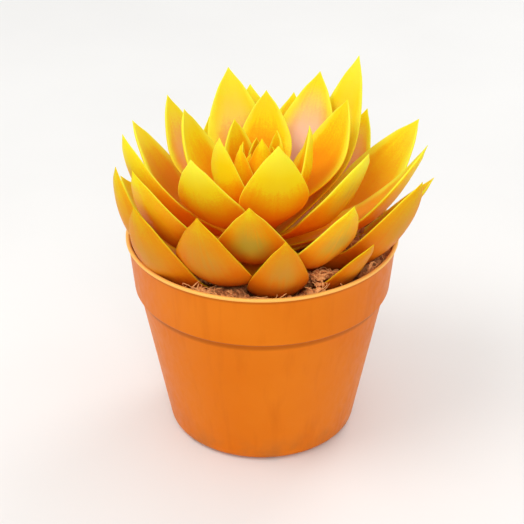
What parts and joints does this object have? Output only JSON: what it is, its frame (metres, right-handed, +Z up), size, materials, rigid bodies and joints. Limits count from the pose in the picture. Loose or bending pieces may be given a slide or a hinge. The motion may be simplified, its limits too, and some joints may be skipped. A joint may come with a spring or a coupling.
{
  "type": "potted echeveria",
  "caption": "Potted rosette succulent: thick pointed leaves, painted orange and yellow, round a short stem in coarse substrate in a round tapered plastic pot with a wide collar.",
  "frame": {"origin": "middle of the pot's flat underside, where it stands", "axes": "+Z up along the pot's axis, -Y towards the side that the picture shows"},
  "size_m": [0.1387, 0.1381, 0.159],
  "materials": {
    "pot": "satin injection-moulded plastic",
    "substrate": "rough, coarse coir and bark",
    "stem": "rough bark with leaf scars",
    "leaf": "satin, sprayed paint on a smooth thick leaf",
    "heart": "satin, sprayed paint on smooth closed leaves"
  },
  "bodies": {
    "root": {"pot": "pot", "substrate": "substrate", "stem": "stem", "leaf_01": "leaf", "leaf_02": "leaf", "leaf_03": "leaf", "leaf_04": "leaf", "leaf_05": "leaf", "leaf_06": "leaf", "leaf_07": "leaf", "leaf_08": "leaf", "leaf_09": "leaf", "leaf_10": "leaf", "leaf_11": "leaf", "leaf_12": "leaf", "leaf_13": "leaf", "leaf_14": "leaf", "leaf_15": "leaf", "leaf_16": "leaf", "leaf_17": "leaf", "leaf_18": "leaf", "leaf_19": "leaf", "leaf_20": "leaf", "leaf_21": "leaf", "leaf_22": "leaf", "leaf_23": "leaf", "leaf_24": "leaf", "leaf_25": "leaf", "leaf_26": "leaf", "leaf_27": "leaf", "leaf_28": "leaf", "leaf_29": "leaf", "leaf_30": "leaf", "leaf_31": "leaf", "leaf_32": "leaf", "leaf_33": "leaf", "heart": "heart"}
  },
  "joints": []
}
